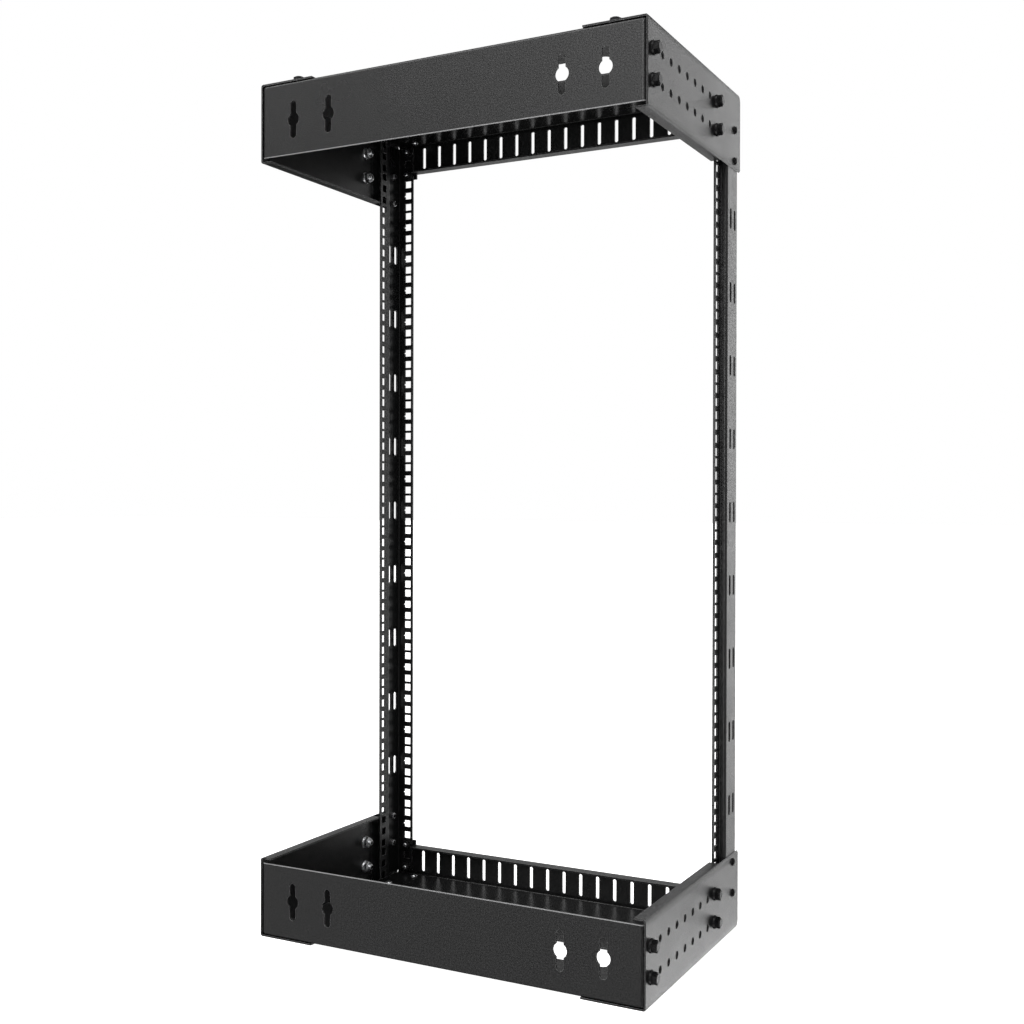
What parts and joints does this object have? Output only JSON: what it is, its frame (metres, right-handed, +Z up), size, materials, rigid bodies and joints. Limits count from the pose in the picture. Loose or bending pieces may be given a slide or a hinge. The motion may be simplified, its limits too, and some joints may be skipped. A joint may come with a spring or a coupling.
{
  "type": "wall-mount open frame rack",
  "caption": "Open steel frame for rack equipment: perforated posts between two shallow trays with wall keyholes, cable openings and vented front panels.",
  "frame": {"origin": "bottom centre of the bounding box, on the floor under the lower tray", "axes": "+Z up; the front with the square-holed flanges faces -Y and the wall plates face +Y; X runs across the rack"},
  "size_m": [0.5186, 0.3104, 1.0419],
  "materials": {
    "black_powder_coat": "fine-textured semi-matt powder coat",
    "black_fastener": "black zinc, satin",
    "zinc_fastener": "bright zinc plate"
  },
  "bodies": {
    "root": {"left_post": "black_powder_coat", "lower_deck_bolts": "black_fastener", "lower_front_panel": "black_powder_coat", "lower_left_depth_bolts": "black_fastener", "lower_left_depth_nuts": "zinc_fastener", "lower_left_panel_screws": "black_fastener", "lower_left_side_plate": "black_powder_coat", "lower_right_depth_bolts": "black_fastener", "lower_right_depth_nuts": "zinc_fastener", "lower_right_panel_screws": "black_fastener", "lower_right_side_plate": "black_powder_coat", "lower_wall_tray": "black_powder_coat", "right_post": "black_powder_coat", "upper_deck_bolts": "black_fastener", "upper_deck_nuts": "zinc_fastener", "upper_front_panel": "black_powder_coat", "upper_left_depth_bolts": "black_fastener", "upper_left_depth_nuts": "zinc_fastener", "upper_left_panel_screws": "black_fastener", "upper_left_side_plate": "black_powder_coat", "upper_right_depth_bolts": "black_fastener", "upper_right_depth_nuts": "zinc_fastener", "upper_right_panel_screws": "black_fastener", "upper_right_side_plate": "black_powder_coat", "upper_wall_tray": "black_powder_coat"}
  },
  "joints": []
}
